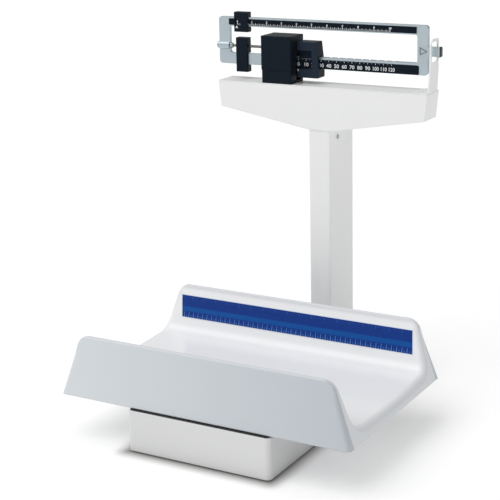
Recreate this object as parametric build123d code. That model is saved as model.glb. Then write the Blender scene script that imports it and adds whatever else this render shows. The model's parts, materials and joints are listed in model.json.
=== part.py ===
from build123d import *
import os

# Baby weighing scale with a trough tray, a rear column and a die-cast balance beam.
# Millimetres. +X runs along the tray and the beam, towards the balance point.
# The attendant stands on the -Y side. The origin is on the floor under the middle
# of the bounding box.

# Driving dimensions: base
BASE_WIDTH = 274.6
BASE_DEPTH = 555.0
BASE_TOP = 75.3
BASE_CORNER = 9.0
SHEET = 1.5
COVER_BOTTOM = 3.0
SLOT_HALF_X = 11.0
SLOT_HALF_Y = 21.0
PAN_FLOOR = 6.0
FOOT_X = 120.0
FOOT_Y = 250.0
SEAL_INSET = 2.8
SEAL_WIDTH = 22.0
SEAL_REAR = 88.0
SEAL_TOP = 77.0

# Driving dimensions: tray
TRAY_Y = -91.0
TRAY_LENGTH = 556.5
TRAY_DEPTH = 361.6
TRAY_BOTTOM = 78.5
TRAY_TOP = 187.0
TRAY_FLOOR = 96.0
TRAY_KNEE_Y = 138.5
TRAY_KNEE_Z = 101.0
TRAY_WALL = 3.5
LIP_INNER = 160.2
LIP_OUTER = 167.6
LIP_RADIUS = 3.4
KNEE_RADIUS = 24.0
END_SLOPE = 0.333
WING_CORNER = 26.0
TAPE_LENGTH = 475.0
TAPE_LOW = 127.2
TAPE_HIGH = 167.7
TAPE_THICK = 0.6

# Driving dimensions: column and beam housing
COLUMN_WIDTH = 43.2
COLUMN_FRONT = 177.7
COLUMN_REAR = 276.0
COLUMN_TOP = 540.0
COLUMN_WALL = 2.0
HOUSING_HALF = 211.7
HOUSING_FRONT = 177.2
HOUSING_REAR = 232.0
HOUSING_TOP = 563.5
HOUSING_END = 514.0
HOUSING_APEX = 483.0

# Driving dimensions: beam
BEAM_Y = 211.0
BEAM_THICK = 7.5
BEAM_LEFT = -225.0
BEAM_RIGHT = 200.0
BEAM_BOTTOM = 591.0
BEAM_TOP = 679.3
WINDOW_LEFT = -202.0
WINDOW_RIGHT = 180.0
LOWER_BAR_TOP = 612.0
UPPER_BAR_BOTTOM = 662.0
PLATE_THICK = 0.8
NOSE_Z = 633.5
NOSE_HEIGHT = 17.0
FULCRUM_X = -74.0
LOAD_X = -102.0
PIVOT_Z = 604.0
ZERO_X = -55.7
NOTCH_PITCH = 15.55
RACK_TOP = 612.6
TARE_Z = 625.0
TARE_RADIUS = 2.5

# Driving dimensions: fulcrum cover and large poise
COVER_LEFT = -119.7
COVER_RIGHT = -57.2
COVER_FRONT = 178.2
COVER_BACK = 230.0
COVER_TOP = 650.7
COVER_STEP = 588.0
POISE_LEFT = -54.2
POISE_RIGHT = -11.0
POISE_FRONT = 197.5
POISE_BACK = 224.5

# Driving dimensions: lever train
SHELF_PIVOT_X = 80.0
SHELF_Z = 528.0
LONG_FULCRUM_Y = -255.0
LONG_LOAD_Y = -205.0
SHORT_FULCRUM_Y = 75.0
SHORT_LOAD_Y = 25.0
LINK_Y = -90.0
LEVER_Z = 44.0
ARM_X = 95.0
TIP_PIN_Z = 29.0
TIP_PIN_RADIUS = 2.5
KNIFE = 7.0
GAP = 0.1

BEAM_FRONT = BEAM_Y - BEAM_THICK / 2
BEAM_BACK = BEAM_Y + BEAM_THICK / 2


def block(x0, x1, y0, y1, z0, z1):
    """Box between two X, two Y and two Z planes."""
    centre = Pos((x0 + x1) / 2, (y0 + y1) / 2, (z0 + z1) / 2)
    return centre * Box(x1 - x0, y1 - y0, z1 - z0)


def rod_x(x0, x1, y, z, r):
    return Pos((x0 + x1) / 2, y, z) * Rot(0, 90, 0) * Cylinder(r, x1 - x0)


def rod_y(x, y0, y1, z, r):
    return Pos(x, (y0 + y1) / 2, z) * Rot(90, 0, 0) * Cylinder(r, y1 - y0)


def rod_z(x, y, z0, z1, r):
    return Pos(x, y, (z0 + z1) / 2) * Cylinder(r, z1 - z0)


def outline(points):
    return Sketch() + make_face(Polyline(*points, close=True))


def plate_y(sketch, y0, y1):
    """Plate whose outline is drawn in X and Z."""
    return extrude(Plane.XZ.offset(-y1) * sketch, y1 - y0)


def plate_x(sketch, x0, x1):
    """Plate whose outline is drawn in Y and Z."""
    return extrude(Plane.YZ.offset(x0) * sketch, x1 - x0)


def rounded(x0, x1, z0, z1, r):
    """Rectangle with rounded corners."""
    return Pos((x0 + x1) / 2, (z0 + z1) / 2) * RectangleRounded(x1 - x0, z1 - z0, r)


def triangle(u, v, up):
    """Knife section with its edge at (u, v), pointing up or down."""
    back = v - KNIFE if up else v + KNIFE
    return outline([(u, v), (u - KNIFE / 2, back), (u + KNIFE / 2, back)])


def vee(u, v, up):
    """Groove section, wider than a knife, with its root at (u, v)."""
    back = v + 9.0 if up else v - 9.0
    return outline([(u, v), (u - 8.0, back), (u + 8.0, back)])


def knife_y(x, y0, y1, z, up):
    return plate_y(triangle(x, z, up), y0, y1)


def knife_x(x0, x1, y, z, up):
    return plate_x(triangle(y, z, up), x0, x1)


def save(name, shape):
    export_step(shape, f"parts/{name}.step")


# Tray: a white moulded shell, open underneath, with a skirt all round


def tray_section(bottom):
    """Cross-section of the tray as a filled block, down to the given height."""
    lean = (TRAY_DEPTH / 2 - LIP_OUTER) / (TRAY_TOP - TRAY_BOTTOM)
    foot = TRAY_DEPTH / 2 + (TRAY_BOTTOM - bottom) * lean
    left = [(-TRAY_KNEE_Y, TRAY_KNEE_Z), (-LIP_INNER, TRAY_TOP)]
    left += [(-LIP_OUTER, TRAY_TOP), (-foot, bottom)]
    right = [(-y, z) for y, z in reversed(left)]
    knee = (TRAY_KNEE_Y, TRAY_KNEE_Z)
    floor = ThreePointArc(knee, (0, TRAY_FLOOR), (-knee[0], knee[1]))
    section = Sketch() + make_face(Polyline(*left, *right) + floor)
    lips = [v for v in section.vertices() if v.Y > TRAY_TOP - 1]
    section = fillet(lips, LIP_RADIUS)
    knees = [v for v in section.vertices() if abs(v.Y - TRAY_KNEE_Z) < 0.01]
    return fillet(knees, KNEE_RADIUS)


def tray_ends(bottom, inset):
    """Front view of the tray: both ends lean in towards the lips."""
    def half(z):
        return TRAY_LENGTH / 2 - END_SLOPE * (z - TRAY_BOTTOM) - inset

    top = TRAY_TOP - inset
    low = [(-half(bottom), bottom), (half(bottom), bottom)]
    view = outline(low + [(half(top), top), (-half(top), top)])
    corners = [v for v in view.vertices() if v.Y > top - 1]
    return fillet(corners, WING_CORNER - inset)


def tray_block(bottom, inset):
    section = tray_section(bottom)
    if inset:
        section = offset(section, -inset)
    run = plate_x(section, -TRAY_LENGTH, TRAY_LENGTH)
    return run & plate_y(tray_ends(bottom + inset, inset), -TRAY_LENGTH, TRAY_LENGTH)


def make_tray():
    shell = tray_block(TRAY_BOTTOM, 0) - tray_block(TRAY_BOTTOM - 30, TRAY_WALL)
    save("tray_shell", Pos(0, TRAY_Y, 0) * shell)


def make_tape():
    """Measuring tape stuck along the inner face of the rear wing."""
    rise = TRAY_TOP - TRAY_KNEE_Z
    run = LIP_INNER - TRAY_KNEE_Y

    def on_wing(z, out):
        y = TRAY_Y + TRAY_KNEE_Y + (z - TRAY_KNEE_Z) * run / rise
        return (y - out, z)

    strip = outline([on_wing(TAPE_LOW, 0.05), on_wing(TAPE_HIGH, 0.05)]
                    + [on_wing(TAPE_HIGH, TAPE_THICK), on_wing(TAPE_LOW, TAPE_THICK)])
    save("measuring_tape", plate_x(strip, -TAPE_LENGTH / 2, TAPE_LENGTH / 2))


# Base: bottom pan, cover, feet


def make_base():
    half = BASE_WIDTH / 2
    deep = BASE_DEPTH / 2
    plan = RectangleRounded(BASE_WIDTH, BASE_DEPTH, BASE_CORNER)
    inner = RectangleRounded(BASE_WIDTH - 2 * SHEET, BASE_DEPTH - 2 * SHEET, BASE_CORNER - SHEET)
    cover = Pos(0, 0, COVER_BOTTOM) * extrude(plan, BASE_TOP - COVER_BOTTOM)
    cover = fillet(cover.faces().sort_by(Axis.Z)[-1].edges(), 2.5)
    cover -= Pos(0, 0, COVER_BOTTOM) * extrude(inner, BASE_TOP - SHEET - COVER_BOTTOM)
    for x in (-ARM_X, ARM_X):
        for y in (LONG_LOAD_Y, SHORT_LOAD_Y):
            slot = block(x - SLOT_HALF_X, x + SLOT_HALF_X, y - SLOT_HALF_Y, y + SLOT_HALF_Y, 70, 80)
            cover -= fillet(slot.edges().filter_by(Axis.Z), 3)
    column = COLUMN_WIDTH / 2 + 0.2
    cover -= block(-column, column, COLUMN_FRONT - 0.2, COLUMN_REAR + 0.2, 60, 90)
    save("base_cover", cover)

    edge = SHEET + 0.3
    pan = block(-half + edge, half - edge, -deep + edge, deep - edge, PAN_FLOOR, 22)
    pan = fillet(pan.edges().filter_by(Axis.Z), BASE_CORNER - edge)
    rim = edge + 2
    pan -= block(-half + rim, half - rim, -deep + rim, deep - rim, PAN_FLOOR + 2, 30)
    pan -= block(-column, column, COLUMN_REAR - 6, BASE_DEPTH, 11.8, 30)
    for x in (-FOOT_X, FOOT_X):
        for y in (-FOOT_Y, FOOT_Y):
            pan -= rod_z(x, y, 0, 10, 4.2)
    save("base_pan", pan)

    feet = []
    studs = []
    for x in (-FOOT_X, FOOT_X):
        for y in (-FOOT_Y, FOOT_Y):
            pad = rod_z(x, y, 0, 5.8, 14) - rod_z(x, y, 3, 6, 4.1)
            feet.append(fillet(pad.edges().sort_by(Axis.Z)[0], 1.2))
            stud = rod_z(x, y, 3, 18, 4) + Pos(x, y, 10.1) * extrude(RegularPolygon(7.5, 6), 4)
            studs.append(stud)
    save("foot_pads", Compound(feet))
    save("foot_studs", Compound(studs))


def make_seal():
    """Thin foam ring on the base cover, under the edge of the tray."""
    front = -BASE_DEPTH / 2 + SEAL_INSET
    side = BASE_WIDTH / 2 - SEAL_INSET
    ring = block(-side, side, front, SEAL_REAR, BASE_TOP + 0.05, SEAL_TOP)
    ring = fillet(ring.edges().filter_by(Axis.Z), BASE_CORNER - SEAL_INSET)
    inner = side - SEAL_WIDTH
    ring -= block(-inner, inner, front + SEAL_WIDTH, SEAL_REAR - SEAL_WIDTH, 70, 90)
    save("base_seal", ring)


# Column: rectangular tube with its cap, bracket and fasteners


def make_column():
    half = COLUMN_WIDTH / 2
    wall = COLUMN_WALL
    tube = block(-half, half, COLUMN_FRONT, COLUMN_REAR, 12, COLUMN_TOP)
    tube = fillet(tube.edges().filter_by(Axis.Z), 3)
    tube -= block(-half + wall, half - wall, COLUMN_FRONT + wall, COLUMN_REAR - wall, 0, 600)
    tube -= block(-13, 13, COLUMN_FRONT - 5, COLUMN_FRONT + 5, 0, 66)
    slot = SHELF_Z - 14
    for side in (-1, 1):
        tube -= block(side * half - 3, side * half + 3, BEAM_Y - 14, BEAM_Y + 14, slot, 600)
        tube -= rod_x(side * half - 4, side * half + 4, BEAM_Y, 467, 2.6)
    save("column_tube", tube)

    cap = block(-half, half, COLUMN_FRONT, COLUMN_REAR, COLUMN_TOP, COLUMN_TOP + 2)
    save("column_cap", fillet(cap.edges().filter_by(Axis.Z), 3))

    gusset = outline([(0, 0), (36, 0), (36, 3), (3, 60), (0, 60)])
    brackets = []
    for side in (-1, 1):
        x0 = side * (half + 0.05)
        x1 = side * (half + 2.05)
        leaf = block(min(x0, x1), max(x0, x1), COLUMN_FRONT + 10, COLUMN_REAR - 10, 10.1, 60)
        x2 = side * (half + 30)
        foot = block(min(x0, x2), max(x0, x2), COLUMN_FRONT + 10, COLUMN_REAR - 10, 8.05, 10.1)
        bracket = leaf + foot
        for y in (COLUMN_FRONT + 25, COLUMN_REAR - 25):
            bracket -= rod_z(side * (half + 18), y, 5, 12, 3.1)
        brackets.append(bracket)
    save("column_brackets", Compound(brackets))

    bolts = []
    for side in (-1, 1):
        for y in (COLUMN_FRONT + 25, COLUMN_REAR - 25):
            x = side * (half + 18)
            head = Pos(x, y, 10.15) * extrude(RegularPolygon(5.8, 6), 4)
            bolts.append(head + rod_z(x, y, 8.05, 11, 3))
    save("column_bolts", Compound(bolts))

    screws = []
    for side in (-1, 1):
        near = side * (half - 1.9)
        far = side * (half + 1.2)
        shank = rod_x(min(near, far), max(near, far), BEAM_Y, 467, 2.5)
        start = side * (half + 0.05)
        end = side * (half + 1.9)
        head = rod_x(min(start, end), max(start, end), BEAM_Y, 467, 4.2)
        screws.append(shank + head)
    save("column_side_screws", Compound(screws))


# Beam housing: folded pan under the beam, its lid, and the balance loop


def housing_view(inset):
    """Front view of the housing, with a shallow V underneath."""
    top = HOUSING_TOP - 1.6
    flat = 24.0
    end = 207.0 - inset
    low = [(-end, HOUSING_END + inset), (-flat, HOUSING_APEX + inset)]
    low += [(flat, HOUSING_APEX + inset), (end, HOUSING_END + inset)]
    upper = HOUSING_HALF - inset
    return outline(low + [(upper, top + inset), (-upper, top + inset)])


def make_housing():
    shell = plate_y(housing_view(0), HOUSING_FRONT, HOUSING_REAR)
    shell -= plate_y(housing_view(SHEET), HOUSING_FRONT + SHEET, HOUSING_REAR - SHEET)
    half = COLUMN_WIDTH / 2 + 0.2
    shell -= block(-half, half, COLUMN_FRONT - 0.2, HOUSING_REAR + 5, 400, COLUMN_TOP + 2.2)
    save("beam_housing", shell)

    lid = block(-HOUSING_HALF, HOUSING_HALF, HOUSING_FRONT, HOUSING_REAR, HOUSING_TOP - 1.55, HOUSING_TOP)
    lid = fillet(lid.edges().filter_by(Axis.Z), 2)
    lid -= block(LOAD_X - 9, LOAD_X + 9, BEAM_Y - 12, BEAM_Y + 12, 550, 570)
    save("housing_lid", lid)

    stem = [(184.8, HOUSING_TOP + 1.6), (225, HOUSING_TOP + 1.6), (229.5, 602), (229.5, 652)]
    stem += [(226.5, 656), (200, 656), (193, 648), (193, 602)]
    loop = plate_x(outline(stem), HOUSING_HALF - 2.5, HOUSING_HALF)
    opening = rounded(197.5, 224.5, NOSE_Z - 17.9, NOSE_Z + 17.9, 3)
    loop -= plate_x(opening, HOUSING_HALF - 5, HOUSING_HALF + 5)
    foot = block(HOUSING_HALF - 24, HOUSING_HALF, 184.8, 225, HOUSING_TOP + 0.05, HOUSING_TOP + 1.65)
    loop += foot
    for y in (193, 217):
        loop -= rod_z(HOUSING_HALF - 16, y, 560, 570, 2.1)
    save("balance_loop", loop)
    screws = []
    for y in (193, 217):
        x = HOUSING_HALF - 16
        head = rod_z(x, y, HOUSING_TOP + 1.7, HOUSING_TOP + 3.6, 3.6)
        screws.append(head + rod_z(x, y, HOUSING_TOP + 0.1, HOUSING_TOP + 2, 2))
    save("loop_screws", Compound(screws))


# Fulcrum: stand, bearings and black cover


def make_fulcrum():
    stand = block(FULCRUM_X - 10, FULCRUM_X + 10, 194, 224, HOUSING_TOP + 0.05, HOUSING_TOP + 3)
    for y0 in (196.5, 219):
        stand += block(FULCRUM_X - 6, FULCRUM_X + 6, y0, y0 + 6.5, HOUSING_TOP + 2, 594)
    save("fulcrum_stand", stand)

    bearings = []
    for y0 in (196.5, 219):
        stone = block(FULCRUM_X - 6, FULCRUM_X + 6, y0, y0 + 6.5, 594.05, PIVOT_Z + 3)
        stone -= plate_y(vee(FULCRUM_X, PIVOT_Z - GAP, True), y0 - 1, y0 + 8)
        bearings.append(stone)
    save("fulcrum_bearings", Compound(bearings))

    cover = block(COVER_LEFT, COVER_RIGHT, COVER_FRONT, COVER_BACK, COVER_STEP, COVER_TOP)
    cover = fillet(cover.edges().filter_by(Axis.Z), 2)
    cover = fillet(cover.faces().sort_by(Axis.Z)[-1].edges(), 1.2)
    cover -= block(COVER_LEFT + 2, COVER_RIGHT - 2, COVER_FRONT + 2, COVER_BACK - 2, 500, COVER_TOP - 2)
    slot = BEAM_Y - 9
    cover -= block(COVER_LEFT - 5, COVER_LEFT + 5, slot, BEAM_Y + 9, 500, 636)
    cover -= block(COVER_RIGHT - 5, COVER_RIGHT + 5, slot, BEAM_Y + 9, 500, 618)
    save("fulcrum_cover", cover)

    skirt = block(COVER_LEFT + 0.8, COVER_RIGHT - 0.8, COVER_FRONT + 0.8, COVER_BACK - 0.8,
                  HOUSING_TOP + 0.05, COVER_STEP - 0.05)
    skirt = fillet(skirt.edges().filter_by(Axis.Z), 2)
    skirt -= block(COVER_LEFT + 3, COVER_RIGHT - 3, COVER_FRONT + 3, COVER_BACK - 3, 500, 600)
    skirt -= block(COVER_LEFT - 5, COVER_RIGHT + 5, slot, BEAM_Y + 9, 568, 600)
    save("cover_skirt", skirt)


# Beam: die-cast frame with two graduated bars, pivots and nose


def make_beam():
    view = rounded(BEAM_LEFT, BEAM_RIGHT, BEAM_BOTTOM, BEAM_TOP, 6)
    view -= rounded(WINDOW_LEFT, WINDOW_RIGHT, LOWER_BAR_TOP, UPPER_BAR_BOTTOM, 4)
    low = NOSE_Z - NOSE_HEIGHT / 2
    view += rounded(BEAM_RIGHT - 8, 219, low, low + NOSE_HEIGHT, 2)
    frame = plate_y(view, BEAM_FRONT, BEAM_BACK)
    frame += rod_x(-224.5, -203, BEAM_Y, TARE_Z, 7.9)
    frame += block(-112, -106, BEAM_FRONT, BEAM_BACK, LOWER_BAR_TOP - 1, TARE_Z + 7)
    frame -= rod_x(-230, -106 - 1.5, BEAM_Y, TARE_Z, TARE_RADIUS + 0.05)
    frame -= plate_y(triangle(FULCRUM_X, PIVOT_Z, False), 200, 222)
    frame -= plate_y(triangle(LOAD_X, PIVOT_Z, True), 200, 222)
    save("beam_frame", frame)

    save("beam_fulcrum_knife", knife_y(FULCRUM_X, 197.5, 224.5, PIVOT_Z, False))
    save("beam_load_knife", knife_y(LOAD_X, 200.5, 221.5, PIVOT_Z, True))

    upper = rounded(-203, 178.5, 664.2, 676, 1)
    save("upper_scale_plate", plate_y(upper, BEAM_FRONT - PLATE_THICK - 0.05, BEAM_FRONT - 0.05))
    lower = rounded(-66, 183.5, BEAM_BOTTOM + 0.4, 608.2, 3)
    save("lower_scale_plate", plate_y(lower, BEAM_FRONT - PLATE_THICK - 0.05, BEAM_FRONT - 0.05))

    arrow = outline([(184.5, 641), (184.5, 626), (199.5, NOSE_Z)])
    save("balance_arrow", plate_y(arrow, BEAM_FRONT - 1.05, BEAM_FRONT - 0.05))

    cap = plate_y(rounded(212, 224.5, low - 0.8, low + NOSE_HEIGHT + 0.8, 3), BEAM_FRONT - 1, BEAM_BACK + 1)
    cap -= block(200, 219.05, BEAM_FRONT - 5, BEAM_BACK + 5, low - 5, low + 30)
    save("nose_cap", cap)

    rack = block(-66, 178, BEAM_BACK + 0.05, BEAM_BACK + 1.6, 596, RACK_TOP)
    for i in range(13):
        rack -= plate_y(outline(notch(ZERO_X + i * NOTCH_PITCH)), 210, 220)
    save("notch_rack", rack)


def notch(x):
    return [(x, RACK_TOP - 2.6), (x - 3, RACK_TOP + 0.5), (x + 3, RACK_TOP + 0.5)]


# Tare: slotted screw along the beam and the weight that it carries


def make_tare():
    screw = rod_x(-229, -108, BEAM_Y, TARE_Z, TARE_RADIUS)
    head = rod_x(-229.5, -225, BEAM_Y, TARE_Z, 6.5)
    head = chamfer(head.edges().sort_by(Axis.X)[0], 0.8)
    head -= block(-230, -228, BEAM_Y - 0.8, BEAM_Y + 0.8, TARE_Z - 8, TARE_Z + 8)
    save("tare_screw", screw + head)

    collar = Pos(-199.2, BEAM_Y, TARE_Z) * Rot(0, 90, 0) * Cone(6, 4.2, 5)
    save("tare_collar", collar - rod_x(-230, -180, BEAM_Y, TARE_Z, TARE_RADIUS + 0.02))

    weight = block(-187.5, -162.5, 203.5, 218.5, 577, 641.2)
    weight = fillet(weight.edges().filter_by(Axis.Z), 1.5)
    weight -= block(-190, -160, BEAM_FRONT - 0.5, BEAM_BACK + 0.5, BEAM_BOTTOM - 0.6, LOWER_BAR_TOP + 0.6)
    weight -= block(-190, -160, BEAM_FRONT + 2, 220, BEAM_BOTTOM - 0.6, LOWER_BAR_TOP + 0.6)
    weight -= rod_x(-190, -160, BEAM_Y, TARE_Z, TARE_RADIUS + 0.05)
    save("tare_weight", weight)


# Poises: the small one on the upper bar, the large one on the lower bar


def make_small_poise():
    front = BEAM_FRONT - PLATE_THICK - 2.6
    back = BEAM_BACK + 2.6
    body = block(-190.5, -160.5, front, back, 651.8, 688.8)
    body = fillet(body.edges().filter_by(Axis.Z), 1)
    body -= block(-200, -150, BEAM_FRONT - 1.3, BEAM_BACK + 0.4, UPPER_BAR_BOTTOM - 0.4, BEAM_TOP + 0.8)
    body -= block(-187.5, -177, front - 1, BEAM_FRONT, 663.5, 676.5)
    save("small_poise", body)
    pointer = outline([(-184.2, 663.4), (-181.2, 659), (-187.2, 659)])
    save("small_poise_pointer", plate_y(pointer, front - 0.6, front - 0.05))
    spring = block(-185, -166, BEAM_BACK - 5, BEAM_BACK - 2, BEAM_TOP + 0.32, BEAM_TOP + 0.75)
    save("small_poise_spring", spring)


def make_large_poise():
    view = rounded(POISE_LEFT, POISE_RIGHT, 574.5, 640.5, 2)
    slope = outline([(-10, 650), (-17, 650), (POISE_RIGHT, 600), (-10, 600)])
    body = plate_y(view - slope, POISE_FRONT + 2.5, POISE_BACK)
    body -= block(-70, 0, BEAM_FRONT - 1.3, BEAM_BACK + 2.2, BEAM_BOTTOM - 0.5, 614.6)
    body -= block(-60, -24.4, 190, BEAM_FRONT, 590.5, 624.5)
    body -= block(-52, -16, BEAM_FRONT - 1.3, BEAM_BACK + 2.2, 614, 632)
    body -= block(-24.4, -16, BEAM_FRONT - 1.3, BEAM_FRONT + 2, 614, 620)
    save("large_poise", body)

    face = plate_y(view - slope, POISE_FRONT, POISE_FRONT + 2.45)
    face = chamfer(face.faces().sort_by(Axis.Y)[0].edges(), 0.8)
    face -= block(-60, -24.4, 190, 210, 590.5, 624.5)
    save("poise_bezel", face)

    index = outline([(ZERO_X + 1.9, 589.6), (ZERO_X + 4.6, 586), (ZERO_X + 4.6, 589.6)])
    save("large_poise_index", plate_y(index, POISE_FRONT - 0.6, POISE_FRONT - 0.05))

    tooth_x = ZERO_X + 2 * NOTCH_PITCH
    tip = RACK_TOP + 0.4
    tooth = outline([(tooth_x, tip), (tooth_x - 2.2, tip + 2.6), (tooth_x - 2.2, 626)]
                    + [(tooth_x + 2.2, 626), (tooth_x + 2.2, tip + 2.6)])
    pawl = plate_y(tooth, BEAM_BACK + 0.1, BEAM_BACK + 1.5)
    pawl += block(tooth_x - 6, tooth_x + 6, BEAM_BACK + 0.1, BEAM_BACK + 1.5, 625, 631.5)
    save("poise_pawl", pawl)


# Lever train inside the housing, the column and the base


def fork(x, y, low, high, across):
    """Stirrup: two eye plates on each side of a lever, joined above and below it."""
    half = 8.5
    plates = []
    for side in (-1, 1):
        c = side * half
        if across == "y":
            plates.append(block(x - 5.5, x + 5.5, y + c - 1.25, y + c + 1.25, low - 7, high + 7))
        else:
            plates.append(block(x + c - 1.25, x + c + 1.25, y - 5.5, y + 5.5, low - 7, high + 7))
    return plates


def eye(x, y, z, across):
    """Hole in which a knife edge rocks."""
    if across == "y":
        return rod_y(x, y - 20, y + 20, z, 4.6)
    return rod_x(x - 20, x + 20, y, z, 4.6)


def make_load_link():
    """Hangs from the beam's load knife and lifts the end of the shelf lever."""
    high = PIVOT_Z - 4.6 + GAP
    low = SHELF_Z + 4.6 - GAP
    plates = fork(LOAD_X, BEAM_Y, low, high, "y")
    link = plates[0] + plates[1]
    link -= eye(LOAD_X, BEAM_Y, high, "y")
    link -= eye(LOAD_X, BEAM_Y, low, "y")
    link += block(LOAD_X - 2, LOAD_X + 2, BEAM_Y - 8, BEAM_Y + 8, 552, 558)
    save("load_link", link)


def make_shelf_lever():
    lever = block(LOAD_X - 10, SHELF_PIVOT_X + 12, BEAM_Y - 3, BEAM_Y + 3, SHELF_Z - 8, SHELF_Z + 8)
    lever = fillet(lever.edges().filter_by(Axis.Y), 5)
    lever -= plate_y(triangle(LOAD_X, SHELF_Z, False), 200, 222)
    lever -= plate_y(triangle(0, SHELF_Z, True), 200, 222)
    lever -= plate_y(triangle(SHELF_PIVOT_X, SHELF_Z, False), 200, 222)
    save("shelf_lever", lever)
    knives = [knife_y(LOAD_X, 200.5, 221.5, SHELF_Z, False)]
    knives.append(knife_y(0, 200.5, 221.5, SHELF_Z, True))
    knives.append(knife_y(SHELF_PIVOT_X, 198, 224, SHELF_Z, False))
    save("shelf_lever_knives", Compound(knives))

    stands = []
    for y0 in (198, 217.5):
        stand = block(SHELF_PIVOT_X - 9, SHELF_PIVOT_X + 9, y0, y0 + 6.5, 499, SHELF_Z + 3)
        stand -= plate_y(vee(SHELF_PIVOT_X, SHELF_Z - GAP, True), y0 - 1, y0 + 8)
        stands.append(stand)
    tie = block(SHELF_PIVOT_X - 9, SHELF_PIVOT_X + 9, HOUSING_FRONT + 1.6, HOUSING_REAR - 1.6, 496.5, 498.95)
    save("shelf_bearings", Compound(stands))
    save("shelf_bearing_bridge", tie)


def make_draw_rod():
    high = SHELF_Z - 4.6 + GAP
    low = LEVER_Z + 4.6 - GAP
    upper = fork(0, BEAM_Y, high - 18, high, "y")
    lower = fork(0, BEAM_Y, low, low + 18, "x")
    rod = upper[0] + upper[1] - eye(0, BEAM_Y, high, "y")
    rod += lower[0] + lower[1] - eye(0, BEAM_Y, low, "x")
    bridge_top = high - 25
    bridge_low = low + 25
    rod += block(-5.5, 5.5, BEAM_Y - 9.75, BEAM_Y + 9.75, bridge_top - 3, bridge_top)
    rod += block(-9.75, 9.75, BEAM_Y - 5.5, BEAM_Y + 5.5, bridge_low, bridge_low + 3)
    rod += rod_z(0, BEAM_Y, bridge_low + 2, bridge_top - 2, 2.5)
    save("draw_rod", rod)
    turnbuckle = Pos(0, BEAM_Y, 300) * extrude(RegularPolygon(6, 6), 34)
    save("draw_rod_turnbuckle", turnbuckle - rod_z(0, BEAM_Y, 290, 340, 2.55))


def make_long_lever():
    """Fulcrum at the front of the base, tip under the column."""
    parts = block(-ARM_X - 4, ARM_X + 4, LONG_FULCRUM_Y + 62, LONG_FULCRUM_Y + 76, 36, 52)
    for side in (-1, 1):
        x = side * ARM_X
        parts += block(x - 4, x + 4, LONG_FULCRUM_Y - 10, LONG_FULCRUM_Y + 70, 36, 52)
        ends = [(side * (ARM_X - 4), LONG_FULCRUM_Y + 66), (side * (ARM_X + 4), LONG_FULCRUM_Y + 76)]
        ends += [(side * 4, 120), (side * 2, 104)]
        arm = extrude(Plane.XY.offset(38) * outline(ends), 12)
        parts += arm
    parts += block(-4, 4, 96, BEAM_Y + 10, 36, 52)
    parts += block(-64, 64, LINK_Y - 4, LINK_Y + 4, 40, 50)
    for x in (-ARM_X, ARM_X):
        parts -= plate_x(triangle(LONG_FULCRUM_Y, LEVER_Z, False), x - 9, x + 9)
        parts -= plate_x(triangle(LONG_LOAD_Y, LEVER_Z, True), x - 9, x + 9)
    parts -= plate_x(triangle(BEAM_Y, LEVER_Z, False), -9, 9)
    save("long_lever", parts)
    knives = []
    for x in (-ARM_X, ARM_X):
        knives.append(knife_x(x - 14, x + 14, LONG_FULCRUM_Y, LEVER_Z, False))
        knives.append(knife_x(x - 14, x + 14, LONG_LOAD_Y, LEVER_Z, True))
    knives.append(knife_x(-10.5, 10.5, BEAM_Y, LEVER_Z, False))
    save("long_lever_knives", Compound(knives))


def make_short_lever():
    """Fulcrum in front of the column, tip hung from the long lever."""
    bar = block(-ARM_X - 4, ARM_X + 4, 4, 14, 24, 34)
    for side in (-1, 1):
        x = side * ARM_X
        bar += block(x - 4, x + 4, 4, SHORT_FULCRUM_Y + 10, 24, 52)
    bar += block(-4, 4, LINK_Y + 32, 10, 24, 34)
    bar += block(-9.5, 9.5, LINK_Y + 28, LINK_Y + 38, 24, 34)
    bar += block(-9.5, -5.5, LINK_Y - 6, LINK_Y + 30, 24, 34)
    bar += block(5.5, 9.5, LINK_Y - 6, LINK_Y + 30, 24, 34)
    bar += rod_x(-9, 9, LINK_Y, TIP_PIN_Z, TIP_PIN_RADIUS)
    for x in (-ARM_X, ARM_X):
        bar -= plate_x(triangle(SHORT_FULCRUM_Y, LEVER_Z, False), x - 9, x + 9)
        bar -= plate_x(triangle(SHORT_LOAD_Y, LEVER_Z, True), x - 9, x + 9)
    save("short_lever", bar)
    knives = []
    for x in (-ARM_X, ARM_X):
        knives.append(knife_x(x - 14, x + 14, SHORT_FULCRUM_Y, LEVER_Z, False))
        knives.append(knife_x(x - 14, x + 14, SHORT_LOAD_Y, LEVER_Z, True))
    save("short_lever_knives", Compound(knives))


def make_lever_link():
    """Loop that hangs from the long lever and lifts the short lever's tip."""
    inner_low = TIP_PIN_Z - TIP_PIN_RADIUS - GAP
    inner_high = 50 + GAP
    loop = block(-1.5, 1.5, LINK_Y - 9, LINK_Y + 9, inner_low - 3, inner_high + 3)
    loop -= block(-2, 2, LINK_Y - 6, LINK_Y + 6, inner_low, inner_high)
    save("lever_link", loop)


def make_base_bearings():
    blocks = []
    for x in (-ARM_X, ARM_X):
        for y in (LONG_FULCRUM_Y, SHORT_FULCRUM_Y):
            for side in (-1, 1):
                c = x + side * 10
                stand = block(c - 3.5, c + 3.5, y - 9, y + 9, 8.05, LEVER_Z + 4)
                stand -= plate_x(vee(y, LEVER_Z - GAP, True), c - 5, c + 5)
                blocks.append(stand)
    save("base_bearings", Compound(blocks))


# Weighing platform: bearings on the load knives, frame, and tray studs


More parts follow.
